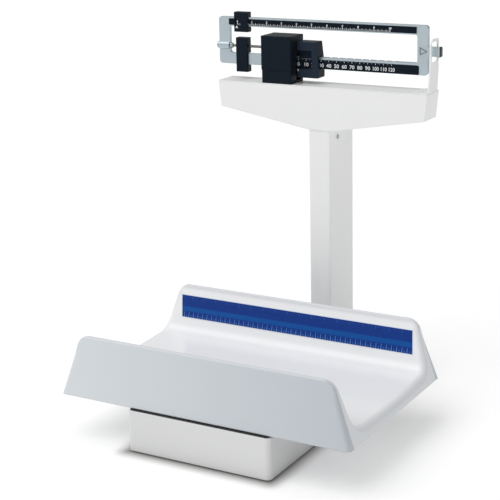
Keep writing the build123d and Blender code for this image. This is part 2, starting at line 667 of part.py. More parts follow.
def make_platform():
    feet = []
    for x in (-ARM_X, ARM_X):
        for y in (LONG_LOAD_Y, SHORT_LOAD_Y):
            bridge = block(x - 13.5, x + 13.5, y - 8, y + 8, LEVER_Z - 4, 60)
            bridge -= plate_x(vee(y, LEVER_Z + GAP, False), x - 15, x + 15)
            bridge -= block(x - 4.8, x + 4.8, y - 10, y + 10, 30, 53.5)
            feet.append(bridge)
    save("platform_bearings", Compound(feet))

    low = 60.05
    high = 64.0
    frame = block(-ARM_X - 12, ARM_X + 12, LONG_LOAD_Y - 9, LONG_LOAD_Y + 9, low, high)
    frame += block(-ARM_X - 12, ARM_X + 12, SHORT_LOAD_Y - 9, SHORT_LOAD_Y + 9, low, high)
    for x in (-ARM_X, ARM_X):
        frame += block(x - 12, x + 12, LONG_LOAD_Y - 9, SHORT_LOAD_Y + 9, low, high)
    save("platform_frame", frame)

    studs = []
    for x in (-ARM_X, ARM_X):
        for y in (LONG_LOAD_Y, SHORT_LOAD_Y):
            studs.append(rod_z(x, y, high + 0.05, 82.5, 6))
    save("platform_studs", Compound(studs))

    carrier = block(-ARM_X - 14, ARM_X + 14, LONG_LOAD_Y - 14, SHORT_LOAD_Y + 14, 82.55, 85)
    carrier = fillet(carrier.edges().filter_by(Axis.Z), 6)
    opening = block(-ARM_X + 16, ARM_X - 16, LONG_LOAD_Y + 16, SHORT_LOAD_Y - 16, 80, 90)
    save("tray_carrier", carrier - fillet(opening.edges().filter_by(Axis.Z), 6))

    ribs = []
    hollow = Pos(0, TRAY_Y, -0.05) * tray_block(TRAY_BOTTOM - 30, TRAY_WALL)
    for x in (-ARM_X, ARM_X):
        ribs.append((block(x - 6, x + 6, LONG_LOAD_Y, SHORT_LOAD_Y, 85.05, 110) & hollow).solids()[0])
    save("tray_pads", Compound(ribs))


os.makedirs("parts", exist_ok=True)
make_tray()
make_tape()
make_base()
make_seal()
make_column()
make_housing()
make_fulcrum()
make_beam()
make_tare()
make_small_poise()
make_large_poise()
make_load_link()
make_shelf_lever()
make_draw_rod()
make_long_lever()
make_short_lever()
make_lever_link()
make_base_bearings()
make_platform()
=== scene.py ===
# %% [markdown]
# A baby scale, dressed around its fixed frame
# The frame holds every part of the scale at a fixed place and size. Modelling it
# again in Blender would risk a second, different scale. So this lesson only
# dresses the frame: it rounds the edges, adds the printing and the finishes, and
# leaves each piece riding on the body that carries it.

# %% Load the frame
import json
from math import cos, pi, radians, sin, sqrt, tan
import bmesh
import bpy
from mathutils import Matrix, Vector
from mathutils.geometry import tessellate_polygon


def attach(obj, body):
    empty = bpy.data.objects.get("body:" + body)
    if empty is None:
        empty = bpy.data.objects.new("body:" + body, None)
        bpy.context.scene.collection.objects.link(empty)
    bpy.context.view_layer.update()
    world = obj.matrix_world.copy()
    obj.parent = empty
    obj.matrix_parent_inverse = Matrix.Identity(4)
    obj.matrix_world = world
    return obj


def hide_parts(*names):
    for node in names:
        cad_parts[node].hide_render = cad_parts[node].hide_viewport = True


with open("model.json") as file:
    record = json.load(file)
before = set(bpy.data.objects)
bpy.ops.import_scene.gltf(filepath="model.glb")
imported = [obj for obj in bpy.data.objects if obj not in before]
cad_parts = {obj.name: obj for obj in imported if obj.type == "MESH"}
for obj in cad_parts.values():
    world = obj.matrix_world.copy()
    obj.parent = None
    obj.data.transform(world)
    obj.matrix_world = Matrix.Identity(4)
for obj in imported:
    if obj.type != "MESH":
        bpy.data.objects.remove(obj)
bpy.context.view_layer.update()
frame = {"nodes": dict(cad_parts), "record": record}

nodes = frame["nodes"]
MM = 0.001

# %% [markdown]
# The view
# The scale is seen from the attendant's right hand, a little above the beam. A
# long lens, about two and a half metres away, keeps the upright edges nearly
# parallel. The camera could be set by a matrix of numbers. A point for the eye,
# two angles and a small roll say the same and are easier to change.

# %% Camera
AZIMUTH = radians(29.97)
ELEVATION = radians(16.09)
ROLL = radians(-1.32)
LENS = 101.9
SENSOR = 36.0
EYE = Vector((1.1604, -2.0979, 0.9940))

level_right = Vector((cos(AZIMUTH), sin(AZIMUTH), 0))
back = Vector((sin(AZIMUTH) * cos(ELEVATION), -cos(AZIMUTH) * cos(ELEVATION), sin(ELEVATION)))
level_up = back.cross(level_right)
right = cos(ROLL) * level_right + sin(ROLL) * level_up
up = back.cross(right)
camera = bpy.data.objects.new("camera", bpy.data.cameras.new("camera"))
bpy.context.scene.collection.objects.link(camera)
camera.data.lens = LENS
camera.data.sensor_width = SENSOR
camera.data.clip_end = 20.0
axes = Matrix((right, up, back)).transposed().to_4x4()
camera.matrix_world = Matrix.Translation(EYE) @ axes
bpy.context.scene.camera = camera
print("camera stands", round(EYE.length, 2), "m from the origin")

# %% [markdown]
# Shader sums as plain Python
# Each finish is a sum of noises and masks. Wired by hand, node after node, the
# sum is hard to see. One small class wraps a socket instead, and its Python
# operators add the Math nodes, so that a finish reads like the sum it is.

# %% Socket maths
class Wire:
    """A node socket that takes part in Python sums."""

    def __init__(self, recipe, socket):
        self.recipe = recipe
        self.socket = socket

    def _math(self, operation, first, second=None):
        inputs = {0: first} if second is None else {0: first, 1: second}
        return self.recipe.node("ShaderNodeMath", {"operation": operation}, inputs)

    def __add__(self, other):
        return self._math("ADD", self, other)

    def __radd__(self, other):
        return self._math("ADD", other, self)

    def __sub__(self, other):
        return self._math("SUBTRACT", self, other)

    def __rsub__(self, other):
        return self._math("SUBTRACT", other, self)

    def __mul__(self, other):
        return self._math("MULTIPLY", self, other)

    def __rmul__(self, other):
        return self._math("MULTIPLY", other, self)

    def __truediv__(self, other):
        return self._math("DIVIDE", self, other)

    def __gt__(self, other):
        return self._math("GREATER_THAN", self, other)

    def __lt__(self, other):
        return self._math("LESS_THAN", self, other)

    def __mod__(self, other):
        return self._math("FLOORED_MODULO", self, other)

    def size(self):
        return self._math("ABSOLUTE", self)

    def root(self):
        return self._math("SQRT", self)


print("sockets can be added, multiplied and compared")

# %% [markdown]
# Recipes
# A material and a sky are both a tree of nodes, so one recipe serves them both.
# Every node comes from its `node` call, which makes the settings first, such as
# a Math node's operation, and fills the sockets after. The short calls below it
# name the few nodes that nearly every finish wants.

# %% Node recipes
class Recipe:
    """The node tree of a material or a sky, and the calls that add nodes to it."""

    def __init__(self, owner, shader, place):
        owner.use_nodes = True
        self.tree = owner.node_tree
        self.shader = self.tree.nodes[shader]
        self.place = self.node("ShaderNodeTexCoord", {}, {}, place)

    def node(self, kind, settings, inputs, output=0):
        made = self.tree.nodes.new(kind)
        for key, value in settings.items():
            setattr(made, key, value)
        for key, value in inputs.items():
            if isinstance(value, Wire):
                self.tree.links.new(value.socket, made.inputs[key])
            else:
                made.inputs[key].default_value = value
        return Wire(self, made.outputs[output])

    def set(self, **values):
        """Puts numbers, colours or wires on the shader's own sockets."""
        for key, value in values.items():
            socket = self.shader.inputs[key.replace("_", " ")]
            if isinstance(value, Wire):
                self.tree.links.new(value.socket, socket)
            else:
                socket.default_value = value

    def noise(self, scale, detail=3.0, rough=0.5, place=None):
        inputs = {"Vector": place or self.place, "Scale": scale, "Detail": detail, "Roughness": rough}
        return self.node("ShaderNodeTexNoise", {}, inputs, "Fac")

    def stretch(self, x, y, z):
        return self.node("ShaderNodeMapping", {}, {"Vector": self.place, "Scale": (x, y, z)})

    def blend(self, mask, low, high):
        """A colour that goes from low to high as the mask goes from 0 to 1."""
        return self.node("ShaderNodeMix", {"data_type": "RGBA"}, {0: mask, 6: low, 7: high}, 2)

    def soft_step(self, value, low, high):
        """Goes smoothly from 0 to 1 while the value goes from low to high."""
        settings = {"interpolation_type": "SMOOTHSTEP"}
        return self.node("ShaderNodeMapRange", settings, {0: value, 1: low, 2: high, 3: 0.0, 4: 1.0})

    def clamp(self, value):
        return self.node("ShaderNodeClamp", {}, {0: value})

    def above(self, value, least):
        return self.node("ShaderNodeMath", {"operation": "MAXIMUM"}, {0: value, 1: least})

    def bump(self, height, strength, distance):
        inputs = {"Height": height, "Strength": strength, "Distance": distance}
        self.set(Normal=self.node("ShaderNodeBump", {}, inputs))

    def xyz(self):
        """The place on the piece, in metres, as three wires."""
        split = self.node("ShaderNodeSeparateXYZ", {}, {0: self.place})
        return [Wire(self, out) for out in split.socket.node.outputs]


class Finish(Recipe):
    """A material whose noises and masks are fixed to the piece itself."""

    def __init__(self, name):
        self.material = bpy.data.materials.new(name)
        super().__init__(self.material, "Principled BSDF", "Object")


print("recipes ready")

# %% [markdown]
# Powder coat
# The base, the column and the housing are sheet steel with a baked coat, whose
# skin has a fine orange-peel. A flat white would do from far off. Two fine
# noises in a bump break up the highlights as the peel does, and a slow cloud
# keeps large faces from looking like paper.
# The base's coat is darker than the column's. That tone isn't in the paint: it
# stands in for uneven studio light, which one sun and a plain sky don't give.
# Extra lamps would be the truer way, and a painted tone was the quicker one.

# %% White, base and grey coats
def tint(value, warm):
    """A near-neutral colour of the given lightness."""
    return (value + warm, value, value - warm, 1.0)


def powder_coat(name, light, rough):
    paint = Finish(name)
    cloud = paint.noise(9.0, 2.0)
    colour = paint.blend(cloud, tint(light - 0.018, -0.002), tint(light + 0.008, -0.001))
    paint.set(Base_Color=colour, Roughness=rough + 0.10 * paint.noise(60.0, 3.0))
    paint.set(Coat_Weight=0.12, Coat_Roughness=0.18)
    peel = paint.noise(420.0, 2.0, 0.45) + 0.4 * paint.noise(1300.0, 1.0)
    paint.bump(peel, 0.10, 0.0004)
    return paint.material


white_paint = powder_coat("white_powder_coat", 0.86, 0.33)
base_paint = powder_coat("base_powder_coat", 0.69, 0.36)
grey_coat = powder_coat("grey_powder_coat", 0.30, 0.42)
print("coats", white_paint.name, base_paint.name, grey_coat.name)

# %% [markdown]
# Tray gloss
# The tray is one gloss moulding, smoother than the coats, with slow waves and
# faint wipe marks on its floor. One white all over would be the plain way.
# Here the inside is the brightest. The crown of each lip and the end walls are
# greyer, and the skirt outside the lip is greyer still and darkens towards +X.
# As on the base, these tones stand in for uneven studio light and aren't known
# to be in the moulding. They are masked by the place on the tray, so they stay
# put when the view turns.

# %% Tray moulding
TRAY_Y = -91.0
TRAY_BOTTOM = 78.5
END_SLOPE = 0.333
CROWN_FROM = 176.0
CROWN_FULL = 186.0
OUTSIDE_FROM = 163.5
OUTSIDE_FULL = 168.5
END_WALL_FROM = 266.0
END_WALL_FULL = 279.0
SKIRT_FADE = 540.0


def moulded_gloss(name):
    gloss = Finish(name)
    x, y, z = gloss.xyz()
    cloud = gloss.noise(5.0, 2.0)
    # Painted shade: the lip's crown, the end walls and the skirt outside the lip are greyed, the skirt
    # more towards +X.
    crown_shade = gloss.soft_step(z / MM, CROWN_FROM, CROWN_FULL)
    inside_white = gloss.blend(cloud, (0.885, 0.892, 0.908, 1), (0.910, 0.916, 0.928, 1))
    inside = gloss.blend(crown_shade, inside_white, (0.690, 0.705, 0.730, 1))
    along = gloss.clamp(0.5 + 0.15 * (cloud - 0.5) + (x / MM) / SKIRT_FADE)
    skirt_shade = gloss.blend(along, (0.645, 0.680, 0.708, 1), (0.490, 0.530, 0.565, 1))
    over_lip = gloss.soft_step((y / MM - TRAY_Y).size(), OUTSIDE_FROM, OUTSIDE_FULL)
    lean = END_SLOPE * (z / MM - TRAY_BOTTOM)
    end_wall_shade = gloss.soft_step((x / MM).size() + lean, END_WALL_FROM, END_WALL_FULL)
    painted_shade_mask = gloss.clamp(over_lip + 0.45 * end_wall_shade)
    wipes = gloss.noise(3.0, 4.0, 0.6, gloss.stretch(1.0, 6.0, 1.0))
    gloss.set(Base_Color=gloss.blend(painted_shade_mask, inside, skirt_shade), Roughness=0.26 + 0.16 * wipes)
    gloss.set(Coat_Weight=0.3, Coat_Roughness=0.08)
    waves = gloss.noise(14.0, 1.0) + 0.05 * gloss.noise(500.0, 2.0)
    gloss.bump(waves, 0.08, 0.002)
    return gloss.material


tray_gloss = moulded_gloss("tray_gloss")
print("tray finish", tray_gloss.name)

# %% [markdown]
# Beam metal
# The beam is taken to be a satin die casting with a cool cast. A plain metal
# would mirror the sky in one flat tone. Noise that is stretched along the beam
# draws fine sanding lines, and a small cloud varies the tone between them.

# %% Beam alloy
def cast_alloy(name):
    metal = Finish(name)
    lines = metal.noise(60.0, 3.0, 0.6, metal.stretch(0.4, 20.0, 20.0))
    cloud = metal.noise(30.0, 3.0)
    colour = metal.blend(cloud, (0.40, 0.47, 0.51, 1), (0.51, 0.585, 0.625, 1))
    metal.set(Base_Color=colour, Metallic=0.85, Roughness=0.30 + 0.14 * lines + 0.06 * cloud)
    metal.bump(lines + 0.6 * metal.noise(900.0, 2.0), 0.10, 0.0003)
    return metal.material


beam_metal = cast_alloy("beam_cast_alloy")
print("beam finish", beam_metal.name)

# %% [markdown]
# Black enamels
# The poises and the fulcrum cover are black enamel, the scale plates are a
# little duller, and the bezel of the large poise is a little lighter. One
# recipe makes all three from a lightness, a roughness and a shine. The shine is
# kept low and bluish, because a full one turns the faces grey under a pale sky.

# %% Three blacks
def black_enamel(name, light, rough, shine):
    coat = Finish(name)
    cloud = coat.noise(40.0, 3.0)
    dust = coat.soft_step(coat.noise(260.0, 2.0), 0.62, 0.80)
    dark = (light, light * 1.55, light * 2.6, 1)
    colour = coat.blend(0.25 * dust + 0.15 * cloud, dark, (0.020, 0.028, 0.040, 1))
    coat.set(Base_Color=colour, Roughness=rough + 0.15 * cloud, Specular_IOR_Level=shine)
    coat.set(Specular_Tint=(0.55, 0.80, 1.0, 1))
    coat.bump(coat.noise(700.0, 2.0), 0.12, 0.0003)
    return coat.material


enamel = black_enamel("black_enamel", 0.0060, 0.34, 0.09)
plate_black = black_enamel("black_scale_plate", 0.0055, 0.42, 0.08)
bezel_black = black_enamel("bezel_black", 0.0140, 0.40, 0.16)
print("blacks", enamel.name, plate_black.name, bezel_black.name)

# %% [markdown]
# Plated and ground steel
# Screws, rods and small fittings are plated, and the knife edges are ground
# steel. They differ only in colour, roughness and grain, so one recipe serves
# them all.

# %% Steels
def plated(name, colour, rough, grain):
    plate = Finish(name)
    cloud = plate.noise(80.0, 3.0)
    darker = tuple(0.86 * c for c in colour[:3]) + (1,)
    mix = plate.blend(cloud, darker, colour)
    plate.set(Base_Color=mix, Metallic=1.0, Roughness=rough + grain * plate.noise(300.0, 3.0))
    plate.bump(plate.noise(600.0, 2.0), 0.05, 0.0002)
    return plate.material


chrome = plated("bright_chrome", (0.40, 0.45, 0.48, 1), 0.16, 0.06)
# The darker steel serves only the balance arrow, as painted shade.
arrow_shade_steel = plated("arrow_shade_steel", (0.20, 0.24, 0.27, 1), 0.28, 0.10)
zinc = plated("zinc_plate", (0.55, 0.55, 0.53, 1), 0.30, 0.15)
hard_steel = plated("ground_steel", (0.42, 0.43, 0.46, 1), 0.20, 0.10)
print("steels", chrome.name, arrow_shade_steel.name, zinc.name, hard_steel.name)

# %% [markdown]
# Parts with two tones
# The beam's nose is bright, and its end towards +X is black: painted shade,
# for the dark side that the nose shows there. The tare screw has a bright
# turned head and a darker rod. Each is one part of the frame. It could be cut
# into two pieces, but a mask on the place along X does the same without a cut.

# %% Nose and tare screw
NOSE_SHADE_FROM = 222.3
SCREW_SHOULDER = -196.0


def plate_with_shaded_end(name, shade_start):
    """Plated steel, painted black past the given start along X as shade."""
    plate = Finish(name)
    x = plate.xyz()[0]
    cloud = plate.noise(80.0, 3.0)
    metal = plate.blend(cloud, (0.36, 0.41, 0.44, 1), (0.46, 0.51, 0.54, 1))
    # Painted shade: the end past the start along X is black.
    black = plate.soft_step(x / MM, shade_start - 0.2, shade_start + 0.2)
    plate.set(Base_Color=plate.blend(black, metal, (0.008, 0.012, 0.018, 1)))
    plate.set(Metallic=1.0 - black, Roughness=0.16 + 0.1 * plate.noise(300.0, 3.0) + 0.2 * black)
    plate.bump(plate.noise(600.0, 2.0), 0.05, 0.0002)
    return plate.material


def turned_steel(name, shoulder):
    """A bright turned head to the left of the shoulder, a darker rod to its right."""
    steel = Finish(name)
    x = steel.xyz()[0]
    rings = steel.noise(8.0, 2.0, 0.5, steel.stretch(60.0, 1.0, 1.0))
    rod = steel.soft_step(x / MM, shoulder - 0.3, shoulder + 0.3)
    head_colour = steel.blend(rings, (0.34, 0.39, 0.42, 1), (0.44, 0.50, 0.54, 1))
    steel.set(Base_Color=steel.blend(rod, head_colour, (0.17, 0.165, 0.155, 1)), Metallic=1.0)
    steel.set(Roughness=0.18 + 0.10 * rings + 0.14 * rod)
    steel.bump(rings, 0.06, 0.0002)
    return steel.material


# The nose's black end is painted shade.
nose_plate = plate_with_shaded_end("nose_plate", NOSE_SHADE_FROM)
screw_steel = turned_steel("tare_screw_steel", SCREW_SHOULDER)
print("two-tone finishes", nose_plate.name, screw_steel.name)

# %% [markdown]
# Cast iron and rubber
# The hidden levers are taken to be painted iron, with the grain of a sand
# mould. The pads and the seal are taken to be black rubber. The seal's black
# also stands in for the shade in the gap between the base and the tray: painted
# shade. All of them are hardly seen, so a rough noise in a bump is enough for
# both.

# %% Iron and rubber
def sand_iron(name, colour):
    iron = Finish(name)
    cloud = iron.noise(35.0, 4.0)
    darker = tuple(0.75 * c for c in colour[:3]) + (1,)
    iron.set(Base_Color=iron.blend(cloud, darker, colour), Roughness=0.55 + 0.2 * cloud)
    iron.bump(iron.noise(380.0, 4.0, 0.6), 0.35, 0.0006)
    return iron.material


def soft_rubber(name):
    pad = Finish(name)
    cloud = pad.noise(60.0, 3.0)
    colour = pad.blend(cloud, (0.012, 0.012, 0.013, 1), (0.028, 0.028, 0.030, 1))
    pad.set(Base_Color=colour, Roughness=0.62 + 0.2 * cloud)
    pad.bump(pad.noise(520.0, 3.0), 0.3, 0.0004)
    return pad.material


lever_iron = sand_iron("lever_iron", (0.16, 0.17, 0.19, 1))
# The seal's black also stands for painted shade in the gap under the tray.
rubber = soft_rubber("pad_rubber")
print("iron and rubber", lever_iron.name, rubber.name)

# %% [markdown]
# White ink
# The plates' marks, the small pointer and the marks of the large poise are
# white. Pure white would look cut out of paper. Ink is thin, so a fine noise
# makes it slightly uneven.

# %% Ink
def white_ink(name):
    ink = Finish(name)
    cloud = ink.noise(500.0, 2.0)
    ink.set(Base_Color=ink.blend(cloud, (0.62, 0.64, 0.66, 1), (0.86, 0.87, 0.88, 1)))
    ink.set(Roughness=0.42 + 0.15 * cloud)
    return ink.material


index_white = white_ink("white_ink")
print("ink", index_white.name)

# %% [markdown]
# A finish for every slot
# The record names a finish slot for each part of the frame. Each part takes the
# finish of its slot first. Only the tape's slot has none yet, so the tape waits
# in white paint until its own piece stands in for it. Parts deep inside the base and the column are never
# seen whole, so they keep the frame's own shape and need nothing more. A few
# seen parts are given another finish further down, where they are rounded.

# %% Finishes by slot
finishes = {
    "tray_white": tray_gloss, "white_paint": white_paint, "grey_paint": grey_coat,
    "beam_alloy": beam_metal, "scale_black": plate_black, "black_paint": enamel,
    "chrome_plate": chrome, "zinc_steel": zinc, "knife_steel": hard_steel,
    "lever_iron": lever_iron, "rubber_black": rubber, "index_white": index_white,
}
bodies = frame["record"]["behaviour"]["bodies"]
slot_of = {part["node"]: part["material_slot"] for part in frame["record"]["subparts"]}
body_of = {node: body for body, group in bodies.items() for node in group}
for name, part in nodes.items():
    finish = finishes.get(slot_of[name], white_paint)
    part.data.materials.clear()
    part.data.materials.append(finish)
print("finished", len(nodes), "frame parts")

# %% [markdown]
# Rounding the edges
# Folded sheet, castings and mouldings never have sharp edges. The frame's own
# shapes stay untouched, so a copy of each seen part is joined up, its flat faces
# are cleaned, and a small bevel is run along every sharp edge. A bevel modifier
# is used instead of cut edges, because its width is then one number that can
# still be changed. Weighted normals keep the flats flat in the light.

# %% Adding a piece
def add_piece(name, mesh, node, finish):
    """Puts a mesh in the scene as a piece that rides with a frame part."""
    mesh.materials.clear()
    mesh.materials.append(finish)
    piece = bpy.data.objects.new(name, mesh)
    bpy.context.scene.collection.objects.link(piece)
    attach(piece, body_of[node])
    return piece


def finish_mesh(name, shape):
    """Turns the working shape into a mesh of that name."""
    mesh = bpy.data.meshes.new(name)
    shape.to_mesh(mesh)
    shape.free()
    return mesh


# %% The edge rounding tool
JOIN_WITHIN = 0.002
FLAT_WITHIN = radians(0.5)


def bevel(piece, width, segments=3, angle=32):
    round_off = piece.modifiers.new("rounding", "BEVEL")
    round_off.width = width * MM
    round_off.segments = segments
    round_off.limit_method = "ANGLE"
    round_off.angle_limit = radians(angle)
    round_off.miter_outer = "MITER_ARC"


def even_light(piece):
    for face in piece.data.polygons:
        face.use_smooth = True
    even = piece.modifiers.new("even_light", "WEIGHTED_NORMAL")
    even.weight = 100


def clean_copy(node):
    """The frame part's shape with doubled points joined and flats made whole."""
    shape = bmesh.new()
    shape.from_mesh(nodes[node].data)
    bmesh.ops.remove_doubles(shape, verts=shape.verts, dist=JOIN_WITHIN * MM)
    bmesh.ops.dissolve_limit(shape, angle_limit=FLAT_WITHIN, verts=shape.verts, edges=shape.edges)
    mesh = finish_mesh(node + "_rounded", shape)
    if "custom_normal" in mesh.attributes:
        mesh.attributes.remove(mesh.attributes["custom_normal"])
    return mesh


def soften(node, width, finish=None):
    """A rounded copy that is shown in place of the frame part."""
    finish = finish or nodes[node].data.materials[0]
    piece = add_piece(node + ".soft", clean_copy(node), node, finish)
    bevel(piece, width)
    even_light(piece)
    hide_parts(node)


print("edges are rounded where faces meet at more than 32 degrees")

# %% [markdown]
# Sheet-metal shell
# The base cover, the column and the housing are folded from sheet. One rounding
# for all would swallow the small parts, so each has its own width: about a
# millimetre for the big folds and about half of that for the rest.

# %% Rounded sheet parts
folds = {
    "base_pan": 0.6, "foot_pads": 0.6, "column_tube": 0.5,
    "column_cap": 0.5, "beam_housing": 1.1, "housing_lid": 0.5, "balance_loop": 0.7,
    "fulcrum_cover": 0.4, "cover_skirt": 0.6,
}
soften("base_cover", 1.2, base_paint)
for name, width in folds.items():
    soften(name, width)
print("rounded sheet parts", len(folds) + 1)

# %% [markdown]
# Beam, weights and small parts
# The beam frame is taken as die-cast, so its outer edges are rounded by half a
# millimetre. The poises are alike. The plates and the rack are thin, so only a
# tenth of a millimetre is taken off their edges. The four parts at the end have
# a finish of their own, so they are rounded one by one. The loop's screws are
# taken to be painted white like the loop.

# %% Rounded castings and turned parts
castings = {
    "beam_frame": 0.55, "small_poise": 0.5, "large_poise": 0.6,
    "tare_weight": 0.6, "base_seal": 0.4, "upper_scale_plate": 0.12,
    "lower_scale_plate": 0.12, "tare_collar": 0.25,
    "column_side_screws": 0.5, "notch_rack": 0.12,
    "poise_pawl": 0.2, "fulcrum_stand": 0.4, "tray_carrier": 0.6, "tray_pads": 0.4,
}
for name, width in castings.items():
    soften(name, width)
soften("nose_cap", 0.7, nose_plate)
soften("tare_screw", 0.3, screw_steel)
soften("poise_bezel", 0.35, bezel_black)
soften("loop_screws", 0.4, white_paint)
print("rounded castings", len(castings) + 4)

# %% [markdown]
# The tray's cross-section
# The tray is one moulding: a skirt climbs to a narrow lip, the wing drops to a
# wide knee and the floor crosses in a shallow curve. It could be pushed about
# from a box. Drawn as a line, each corner has its own exact radius. One half is
# drawn and mirrored, and only the corners need many points.

# %% Half of the tray line
TRAY_TOP = 187.0
FLOOR_Z = 96.0
KNEE = Vector((138.5, 101.0))
LIP_IN = Vector((160.2, TRAY_TOP))
LIP_OUT_Y = 167.6
LIP_OUT = Vector((LIP_OUT_Y, TRAY_TOP))
SKIRT_FOOT_Y = 180.8
PAST_BOTTOM = 25
SKIRT_LEAN = (SKIRT_FOOT_Y - LIP_OUT_Y) / (TRAY_TOP - TRAY_BOTTOM)
SKIRT_END = Vector((SKIRT_FOOT_Y + PAST_BOTTOM * SKIRT_LEAN, TRAY_BOTTOM - PAST_BOTTOM))


def floor_height(y):
    return FLOOR_Z + (KNEE.y - FLOOR_Z) * (y / KNEE.x) ** 2


def corner_arc(before, corner, after, radius, steps):
    """Points along the arc that rounds the corner between two straight runs."""
    one = (before - corner).normalized()
    two = (after - corner).normalized()
    half = one.angle(two) / 2
    middle = corner + (one + two).normalized() * (radius / sin(half))
    start = corner + one * (radius / tan(half)) - middle
    end = corner + two * (radius / tan(half)) - middle
    return [middle + radius * start.slerp(end, i / steps) for i in range(steps + 1)]


def run(start, end, steps):
    """The points between start and end, without the two ends."""
    return [start.lerp(end, i / steps) for i in range(1, steps)]


floor_edge = Vector((KNEE.x - 30, floor_height(KNEE.x - 30)))
half_line = [Vector((y, floor_height(y))) for y in range(0, 121, 8)]
knee_arc = corner_arc(floor_edge, KNEE, LIP_IN, 24.0, 10)
inner_arc = corner_arc(KNEE, LIP_IN, LIP_OUT, 3.4, 14)
outer_arc = corner_arc(LIP_IN, LIP_OUT, SKIRT_END, 5.2, 16)
half_line += knee_arc + run(knee_arc[-1], inner_arc[0], 34) + inner_arc
half_line += outer_arc + run(outer_arc[-1], SKIRT_END, 44) + [SKIRT_END]
tray_line = [Vector((-p.x, p.y)) for p in reversed(half_line[1:])] + half_line
print("tray line has", len(tray_line), "points")

# %% [markdown]
# Rolling the tray's ends
# Each end of the trough rolls over into an end wall that leans in towards the
# top, and the wing corners are cut round. A bevel has one width, and these
# radii change along the edge. So a ball is rolled along the inside of the edge:
# small on the lip, medium on the skirt and large where the floor meets the end
# wall. The shape is drawn a little too long and cut flat at the bottom.

# %% Rolling ball
END_HALF = 278.25
CORNER_MIDDLE = Vector((223.4, 161.0))
CORNER_RADIUS = 26.0
LEAN = Vector((1.0, END_SLOPE)).normalized()
LIP_ROLL = 3.3
SKIRT_ROLL = 8.0
INSIDE_ROLL = 17.0
ROLL_FROM = 178.0
ROLL_GROWTH = 0.155


def roll_radius(point):
    widest = SKIRT_ROLL if abs(point.x) > LIP_IN.x else INSIDE_ROLL
    return min(widest, max(LIP_ROLL, LIP_ROLL + (ROLL_FROM - point.y) * ROLL_GROWTH))


def line_normal(i):
    before = tray_line[max(i - 1, 0)]
    after = tray_line[min(i + 1, len(tray_line) - 1)]
    along = (after - before).normalized()
    return Vector((0, -along.y, along.x))


def ball(i):
    """Middle of the rolling ball, its radius, and the end wall's direction there."""
    point = Vector((0, tray_line[i].x, tray_line[i].y))
    facing = line_normal(i)
    radius = roll_radius(tray_line[i])
    middle = point - radius * facing
    rise = (middle.z - CORNER_MIDDLE.y) / (CORNER_RADIUS - radius)
    if rise > LEAN.y:
        rise = min(rise, 1.0)
        out = Vector((sqrt(1 - rise * rise), 0, rise))
        middle.x = CORNER_MIDDLE.x + (CORNER_RADIUS - radius) * out.x
    else:
        out = Vector((LEAN.x, 0, LEAN.y))
        middle.x = END_HALF - END_SLOPE * (middle.z - TRAY_BOTTOM) - radius / LEAN.x
    return middle, radius, facing, out


print("ball radius from", LIP_ROLL, "to", INSIDE_ROLL, "mm")

# %% Tray shell
ROLL_STEPS = 8
SPANS = 10
WALL = 3.2


def ring(i):
    """One line of tray points at section point i, from the left end to the right."""
    middle, radius, facing, out = ball(i)
    rolled = []
    for k in range(ROLL_STEPS + 1):
        turn = k / ROLL_STEPS
        lean = (facing * cos(turn * pi / 2) + out * sin(turn * pi / 2)).normalized()
        rolled.append(middle + lean * radius)
    left = [Vector((-p.x, p.y, p.z)) for p in reversed(rolled)]
    between = [left[-1].lerp(rolled[0], j / SPANS) for j in range(1, SPANS)]
    return left + between + rolled


def close_ends(shape, rows):
    """Fills each end wall between the first, or the last, points of the rows."""
    for column in (0, -1):
        edge = [row[column] for row in rows]
        flat = [Vector((v.co.y, v.co.z, 0)) for v in edge]
        for a, b, c in tessellate_polygon([flat]):
            shape.faces.new((edge[a], edge[b], edge[c]))


def tray_shell():
    shape = bmesh.new()
    rows = []
    for i in range(len(tray_line)):
        rows.append([shape.verts.new((p.x * MM, (p.y + TRAY_Y) * MM, p.z * MM)) for p in ring(i)])
    for low, high in zip(rows, rows[1:]):
        for j in range(len(low) - 1):
            shape.faces.new((low[j], low[j + 1], high[j + 1], high[j]))
    close_ends(shape, rows)
    bmesh.ops.remove_doubles(shape, verts=shape.verts, dist=0.02 * MM)
    every = shape.verts[:] + shape.edges[:] + shape.faces[:]
    bottom = (0, 0, TRAY_BOTTOM * MM)
    bmesh.ops.bisect_plane(shape, geom=every, plane_co=bottom, plane_no=(0, 0, 1), clear_inner=True)
    bmesh.ops.recalc_face_normals(shape, faces=shape.faces)
    widest = max(shape.faces, key=lambda face: face.calc_area() * abs(face.normal.z))
    if widest.normal.z < 0:
        bmesh.ops.reverse_faces(shape, faces=shape.faces)
    return finish_mesh("tray_shell_moulded", shape)


tray = add_piece("tray_shell.moulded", tray_shell(), "tray_shell", tray_gloss)
wall = tray.modifiers.new("wall", "SOLIDIFY")
wall.thickness = WALL * MM
wall.offset = -1
even_light(tray)
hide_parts("tray_shell")
print("tray faces", len(tray.data.polygons))

# %% [markdown]
# Printing on the tape
# A strip of printed film lies on the rear wing, so a baby can be measured while
# it lies there. It has a thin pale border and three bands: inches along the
# top, a lighter middle, and centimetres along the bottom. A picture of the
# print could be pasted on. Sums on the place along the strip stay sharp from
# near by and need no picture. Both ends lean a little, and so does the border.

# %% Tape film
TAPE_HALF = 239.0
TAPE_LOW = 125.8
TAPE_HIGH = 169.1
TAPE_WIDTH = TAPE_HIGH - TAPE_LOW
TAPE_SKEW = 5.0
END_BORDER = 1.6
SIDE_BORDER = 1.5
BAND_MIDDLE = 17.0
INCH = 25.4
CM = 10.0


